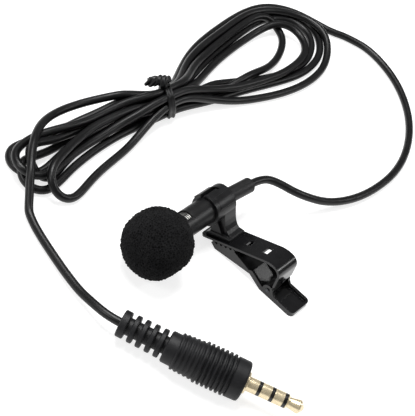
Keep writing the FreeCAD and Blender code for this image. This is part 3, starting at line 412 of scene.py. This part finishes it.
    (-18.65, 40.30, 4.05), (-18.14, 38.36, 2.65), (-16.54, 36.92, 1.57), (-14.26, 36.32, 1.10), (-11.84, 36.53, 1.10), (-9.48, 37.10, 1.10),
    (-7.15, 37.71, 1.11), (-4.82, 38.26, 1.11), (-2.46, 38.73, 1.11), (-0.09, 39.11, 1.11), (2.29, 39.43, 1.10), (4.68, 39.72, 1.11),
    (7.06, 40.02, 1.10), (9.44, 40.37, 1.14), (11.79, 40.79, 1.30), (14.13, 41.27, 1.62), (16.43, 41.77, 2.08), (18.71, 42.25, 2.65),
    (20.99, 42.65, 3.32), (23.26, 42.94, 4.04), (25.55, 43.08, 4.76), (27.89, 43.08, 5.32), (30.27, 42.89, 5.57), (32.66, 42.60, 5.60),
    (34.98, 42.05, 5.33), (37.22, 41.37, 4.78), (39.40, 40.59, 4.13), (41.56, 39.75, 3.50), (43.70, 38.83, 2.93), (45.86, 37.91, 2.40),
    (48.04, 37.03, 1.90), (50.25, 36.18, 1.50), (52.47, 35.31, 1.23), (54.71, 34.45, 1.11), (56.96, 33.62, 1.10), (59.24, 32.84, 1.11),
    (61.52, 32.11, 1.10), (63.83, 31.45, 1.11), (66.17, 30.87, 1.10), (68.52, 30.39, 1.11), (70.89, 30.00, 1.10), (73.28, 29.73, 1.11),
    (75.67, 29.58, 1.10), (78.08, 29.56, 1.11), (80.48, 29.69, 1.10), (82.86, 29.99, 1.11), (85.22, 30.47, 1.10), (87.51, 31.18, 1.16),
    (89.72, 32.12, 1.34), (91.79, 33.31, 1.65), (93.67, 34.76, 2.07), (95.28, 36.49, 2.56), (96.49, 38.53, 2.99), (97.19, 40.82, 3.25),
    (97.33, 43.23, 3.28), (96.90, 45.60, 3.15), (95.98, 47.82, 3.03), (94.65, 49.83, 2.97), (93.00, 51.58, 2.98), (91.10, 53.07, 3.04),
    (89.04, 54.30, 3.14), (86.85, 55.30, 3.23), (84.57, 56.07, 3.28), (82.23, 56.61, 3.26), (79.85, 56.91, 3.20), (77.45, 56.96, 3.14),
    (75.05, 56.86, 3.12), (72.65, 56.66, 3.11), (70.26, 56.42, 3.11), (67.87, 56.17, 3.12), (65.48, 55.93, 3.12), (63.09, 55.70, 3.08),
    (60.70, 55.47, 3.02), (58.32, 55.19, 2.95), (55.94, 54.84, 2.89), (53.58, 54.37, 2.86), (51.25, 53.79, 2.92), (48.96, 53.08, 3.03),
    (46.72, 52.24, 3.21), (44.54, 51.26, 3.48), (42.42, 50.20, 3.85), (40.29, 49.17, 4.30), (38.13, 48.23, 4.80), (35.89, 47.48, 5.24),
    (33.54, 47.09, 5.51), (31.14, 47.11, 5.57), (28.74, 47.37, 5.57), (26.41, 47.92, 5.71), (24.17, 48.74, 5.97), (21.99, 49.71, 6.30),
    (19.84, 50.74, 6.58), (17.71, 51.85, 6.67), (15.55, 52.86, 6.32), (13.38, 53.83, 5.91), (11.18, 54.72, 5.55), (8.92, 55.50, 5.28),
    (6.61, 56.13, 5.09), (4.25, 56.59, 5.03), (1.86, 56.86, 5.09), (-0.53, 56.93, 5.27), (-2.91, 56.78, 5.56), (-5.26, 56.40, 5.94),
    (-7.54, 55.78, 6.37), (-9.75, 54.95, 6.82), (-11.88, 53.90, 7.20), (-13.92, 52.65, 7.48), (-15.87, 51.25, 7.51), (-17.73, 49.73, 7.35),
    (-19.48, 48.11, 7.05), (-21.15, 46.40, 6.65), (-22.61, 44.78, 5.64), (-23.94, 43.18, 4.40), (-25.20, 41.57, 3.20), (-26.37, 40.19, 2.13),
    (-27.62, 38.51, 1.34), (-29.91, 32.27, 1.11), (-34.03, 16.79, 1.75), (-35.08, 9.99, 3.30), (-35.29, 5.21, 4.14), (-34.35, 2.47, 4.29)
]
cu = bpy.data.curves.new("lead", "CURVE")
cu.dimensions = "3D"
sp = cu.splines.new("NURBS")
sp.points.add(len(ROUTE) - 1)
for p, (x, y, z) in zip(sp.points, ROUTE):
    p.co = (x * MM, y * MM, z * MM, 1.0)
sp.order_u = 3
sp.use_endpoint_u = True
sp.resolution_u = 8
cu.bevel_depth = 0.001075
cu.bevel_resolution = 5
cu.use_fill_caps = True
lead = bpy.data.objects.new("lead", cu)
bpy.context.scene.collection.objects.link(lead)
paint(lead, MATS["lead_pvc"])
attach(lead, "mic")
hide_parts("mic_lead", "lead_hank", "plug_lead")

# -------------------------------------------------------------------- foam
AX_Y, AX_Z = 11.7445, 8.7019           # microphone's axis
FX0 = 5.9196                           # clip's near edge
FC, FREAR, BORE = -19.25 + FX0, -12.2 + FX0, 3.40
F_A, F_B, F_P = 7.95, 8.38, 2.45          # half length, half width and squareness of the ball


def foam_profile():
    """(x, r) from the bore's mouth round to the front pole: a slightly squared ball."""
    pts = [(FREAR - 1.2, BORE + 0.02), (FREAR - 0.35, BORE + 0.03), (FREAR - 0.05, BORE + 0.35)]
    q = 2.0 / F_P
    a0 = math.acos(((FREAR - FC) / F_A) ** (1.0 / q))
    r_rear = F_B * math.sin(a0) ** q
    pts += [(FREAR + 0.05, BORE + 0.35 + (r_rear - BORE - 0.9) * k) for k in (0.25, 0.5, 0.75, 0.95)]
    n = 150
    for i in range(n + 1):
        a = a0 * 0.99 + (math.pi - a0 * 0.99) * i / n
        c_, s_ = math.cos(a), max(0.0, math.sin(a))
        pts.append((FC + F_A * math.copysign(abs(c_) ** q, c_), F_B * s_ ** q))
    return pts


prof = foam_profile()
NT = 300
bm = bmesh.new()
rings = []
for x, r in prof[:-1]:
    ring = []
    for k in range(NT):
        t = 2 * math.pi * k / NT
        ring.append(bm.verts.new((x, AX_Y + r * math.cos(t), AX_Z + r * math.sin(t))))
    rings.append(ring)
pole = bm.verts.new((prof[-1][0], AX_Y, AX_Z))
for a, b in zip(rings, rings[1:]):
    for k in range(NT):
        bm.faces.new((a[k], a[(k + 1) % NT], b[(k + 1) % NT], b[k]))
for k in range(NT):
    bm.faces.new((rings[-1][k], rings[-1][(k + 1) % NT], pole))
bm.normal_update()
centre = Vector((FC, AX_Y, AX_Z))
shift = {}
for v in bm.verts:
    p = v.co
    rr = math.hypot(p.y - AX_Y, p.z - AX_Z)
    if p.x > FREAR - 1.3 and rr < BORE + 0.3:
        continue
    d, _ = noise.voronoi(p * 1.1, distance_metric="DISTANCE", exponent=2.5)
    e, _ = noise.voronoi(p * 2.3 + Vector((7.3, 1.9, 4.4)), distance_metric="DISTANCE", exponent=2.5)
    pore = max(0.0, 0.45 - d[0]) * 0.62 + max(0.0, 0.40 - e[0]) * 0.22
    lump = noise.noise(p * 0.13 + Vector((3.1, 0.4, 8.2))) * 0.30 + noise.noise(p * 3.0) * 0.06
    shift[v] = v.normal * (lump - pore)
for v, s_ in shift.items():
    v.co = v.co + s_
    v.co.z = max(v.co.z, 0.02)
for v in bm.verts:
    v.co = v.co * MM
bmesh.ops.recalc_face_normals(bm, faces=bm.faces)
me = bpy.data.meshes.new("foam")
bm.to_mesh(me)
bm.free()
for p in me.polygons:
    p.use_smooth = True
foam = bpy.data.objects.new("foam", me)
bpy.context.scene.collection.objects.link(foam)
paint(foam, MATS["foam"])
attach(foam, "foam")
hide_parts("foam_windscreen")


# -------------------------------------------------------------------- tie
def sweep(name, path, section, closed=False, turn=0.0, taper=None, start=0.0, upv=Vector((1, 0, 0)), radial=None):
    """Mesh of a section (a, b) carried along a path; a runs along upv at the start, the frame is carried without twist."""
    n = len(path)
    path = [Vector(p) for p in path]
    verts, faces = [], []
    side = upv.copy()
    for i, p in enumerate(path):
        if closed:
            t = (path[(i + 1) % n] - path[(i - 1) % n]).normalized()
        else:
            t = (path[min(i + 1, n - 1)] - path[max(i - 1, 0)]).normalized()
        side = (side - t * side.dot(t)).normalized()
        nor = t.cross(side).normalized()
        if radial:
            nor = (radial[i] - t * radial[i].dot(t)).normalized()
            side = nor.cross(t).normalized()
        a = start + turn * i / (n - 1)
        ca, sa = math.cos(a), math.sin(a)
        k = taper(i / (n - 1)) if taper else 1.0
        for u, w in section:
            uu, ww = (u * ca - w * sa) * k, (u * sa + w * ca) * k
            verts.append((p + side * uu + nor * ww) * MM)
    m_ = len(section)
    last = n if closed else n - 1
    for i in range(last):
        j = (i + 1) % n
        for k in range(m_):
            faces.append((i * m_ + k, i * m_ + (k + 1) % m_, j * m_ + (k + 1) % m_, j * m_ + k))
    if not closed:
        faces.append(tuple(range(m_))[::-1])
        faces.append(tuple((n - 1) * m_ + k for k in range(m_)))
    return verts, faces


def smooth_path(pts, closed, per=6):
    """Catmull-Rom points through pts."""
    res, n = [], len(pts)
    P = [Vector(p) for p in pts]
    rng = range(n) if closed else range(n - 1)
    for i in rng:
        if closed:
            a, b, c_, d_ = P[(i - 1) % n], P[i], P[(i + 1) % n], P[(i + 2) % n]
        else:
            a, b, c_, d_ = P[max(i - 1, 0)], P[i], P[i + 1], P[min(i + 2, n - 1)]
        for k in range(per):
            t = k / per
            res.append(0.5 * ((2 * b) + (c_ - a) * t + (2 * a - 5 * b + 4 * c_ - d_) * t * t + (3 * b - a - 3 * c_ + d_) * t ** 3))
    if not closed:
        res.append(P[-1])
    return res


# band section: flat PVC with a wire ridge along each edge
def ridge_section(half=1.2, web=0.30, r=0.50, n=9):
    pts = []
    for k in range(n):                     # right ridge
        a = -2.72 + 5.44 * k / (n - 1)
        pts.append((half + r * math.cos(a), r * math.sin(a)))
    for k in range(n):                     # left ridge
        a = math.pi - 2.72 + 5.44 * k / (n - 1)
        pts.append((-half + r * math.cos(a), r * math.sin(a)))
    return pts


BAND = [
    (29.18, 41.70, 1.50), (29.50, 41.89, 0.98), (29.86, 42.25, 0.61), (30.22, 42.75, 0.42), (30.56, 43.33, 0.40), (30.91, 43.92, 0.40),
    (31.25, 44.52, 0.40), (31.59, 45.11, 0.40), (31.94, 45.71, 0.40), (32.28, 46.30, 0.40), (32.60, 46.89, 0.45), (32.87, 47.47, 0.61),
    (33.04, 47.99, 0.94), (33.10, 48.43, 1.42), (33.08, 48.79, 1.99), (33.03, 49.12, 2.59), (32.95, 49.38, 3.20), (32.78, 49.51, 3.81),
    (32.51, 49.45, 4.39), (32.18, 49.24, 4.93), (31.82, 48.98, 5.45), (31.46, 48.71, 5.97), (31.09, 48.44, 6.49), (30.73, 48.17, 7.00),
    (30.37, 47.90, 7.52), (30.00, 47.60, 8.01), (29.63, 47.24, 8.42), (29.26, 46.78, 8.68), (28.90, 46.23, 8.79), (28.56, 45.64, 8.80),
    (28.23, 45.05, 8.77), (27.91, 44.45, 8.70), (27.65, 43.87, 8.52), (27.49, 43.36, 8.18), (27.43, 42.93, 7.69), (27.45, 42.56, 7.12),
    (27.49, 42.22, 6.52), (27.56, 41.93, 5.92), (27.70, 41.74, 5.29), (27.90, 41.65, 4.66), (28.14, 41.63, 4.02), (28.40, 41.63, 3.38),
    (28.65, 41.63, 2.75), (28.91, 41.64, 2.11)
]
ACROSS = Vector((0.819, -0.473, 0.326))       # the band's width runs along the bundle
band = smooth_path([Vector(p) for p in BAND], True, 3)
V, F = sweep("band", band, ridge_section(half=0.60, r=0.40, n=11), closed=True, upv=ACROSS)


def add(vv, ff, base_v, base_f):
    k = len(base_v)
    base_v.extend(vv)
    base_f.extend(tuple(i + k for i in f) for f in ff)


# the two ends are twisted together on the far side and lie over the bundle's shoulder
K0 = Vector((29.3, 46.2, 9.85))
K1 = Vector((26.8, 50.9, 7.50))
D = (K1 - K0).normalized()
LT = (K1 - K0).length
side0 = D.cross(Vector((0, 0, 1))).normalized()
up0 = side0.cross(D).normalized()
top = max(BAND, key=lambda p: 0.9 * p[2] + 0.5 * p[0] + 0.866 * p[1])
for ph in (0.35, math.pi + 0.35):
    pts, rad_ = [], []
    N_ = 60
    for i in range(N_ + 1):
        t = i / N_
        a = ph + 2 * math.pi * 1.05 * t
        r_ = 0.40 + 0.50 * min(1.0, t / 0.12)
        if t > 0.86:
            r_ = 0.90 - 0.12 * (t - 0.86) / 0.14
        rv = side0 * math.cos(a) + up0 * math.sin(a)
        bow = Vector((0, 0, 1)) * 0.60 * math.sin(math.pi * t)
        pts.append(K0 + D * (LT * t) + rv * r_ + bow)
        rad_.append(rv)
    vv, ff = sweep("end", pts, ridge_section(half=0.60, r=0.48, n=8), radial=rad_)
    add(vv, ff, V, F)
# the band's ends run up from the bundle's top to the root of the twist
i_top = BAND.index(top)
for step in (-1, 1):
    on_band = [Vector(BAND[(i_top + step * j) % len(BAND)]) for j in (4, 3, 2)]
    b_ = K0 + D * 0.7 + Vector((0, 0, -0.35))
    mid_ = on_band[-1] * 0.5 + b_ * 0.5 + Vector((0, 0, 0.25))
    vv, ff = sweep("root", smooth_path(on_band + [mid_, b_], False, 8), ridge_section(half=0.50, r=0.34, n=8), upv=ACROSS)
    add(vv, ff, V, F)
# one end is wrapped once round the root of the twist
wrap, wr = [], []
for i in range(49):
    a = 2 * math.pi * i / 48 * 1.45 + 0.2
    rv = side0 * math.cos(a) + up0 * math.sin(a)
    k_ = 1.0 - 0.30 * max(0.0, abs(i - 24) / 24.0 - 0.8) / 0.2
    wrap.append(K0 + D * (0.8 + 1.7 * i / 48) + rv * 1.50 * k_ + Vector((0, 0, 0.45)))
    wr.append(rv)
vv, ff = sweep("wrap", wrap, ridge_section(half=0.58, r=0.40, n=8), radial=wr)
add(vv, ff, V, F)
V = [(v[0], v[1], max(v[2], 0.02 * MM)) for v in V]       # the band lies flat on the table
me = bpy.data.meshes.new("tie")
me.from_pydata([tuple(v) for v in V], [], F)
bm = bmesh.new()
bm.from_mesh(me)
bmesh.ops.recalc_face_normals(bm, faces=bm.faces)
bm.to_mesh(me)
bm.free()
for p in me.polygons:
    p.use_smooth = True
tie = bpy.data.objects.new("tie", me)
bpy.context.scene.collection.objects.link(tie)
paint(tie, MATS["tie_pvc"])
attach(tie, "mic")
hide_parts("hank_tie")

# ------------------------------------------------------------ floor, light
bm = bmesh.new()
bmesh.ops.create_grid(bm, x_segments=2, y_segments=2, size=4.0)
me = bpy.data.meshes.new("floor")
bm.to_mesh(me)
bm.free()
floor = bpy.data.objects.new("floor", me)
bpy.context.scene.collection.objects.link(floor)
floor.location = (0, 0, 0)
mat, nt, sh = new_mat("floor_white")
fac = noise_tex(nt, coords(nt), 3.0, 2.0)
nt.links.new(ramp(nt, fac, [(0.3, (0.41, 0.41, 0.41)), (0.7, (0.43, 0.43, 0.43))]), sh.inputs["Base Color"])
sh.inputs["Roughness"].default_value = 0.9
sh.inputs["Specular IOR Level"].default_value = 0.0
sh.inputs["Emission Color"].default_value = (1, 1, 1, 1)
sh.inputs["Emission Strength"].default_value = 0.76
paint(floor, mat)

world = bpy.data.worlds.new("world")
bpy.context.scene.world = world
world.use_nodes = True
world.node_tree.nodes["Background"].inputs["Color"].default_value = (1, 1, 1, 1)
world.node_tree.nodes["Background"].inputs["Strength"].default_value = 0.20


def area(name, loc, target, size, power, size_y=None):
    ld = bpy.data.lights.new(name, "AREA")
    ld.shape = "RECTANGLE"
    ld.size = size
    ld.size_y = size_y or size
    ld.energy = power
    o = bpy.data.objects.new(name, ld)
    bpy.context.scene.collection.objects.link(o)
    o.location = loc
    o.rotation_euler = (Vector(target) - Vector(loc)).to_track_quat("-Z", "Y").to_euler()
    return o


area("key", (0.05, 0.20, 0.62), (0.03, 0.01, 0.0), 0.40, 5.2, 0.26)
area("left", (-0.50, 0.25, 0.42), (0.0, 0.0, 0.0), 0.22, 1.5, 0.22)
area("right", (0.45, -0.40, 0.50), (0.0, 0.0, 0.0), 0.22, 1.3, 0.22)

sc = bpy.context.scene
sc.view_settings.view_transform = "Standard"
sc.view_settings.look = "None"
sc.view_settings.exposure = 0.0
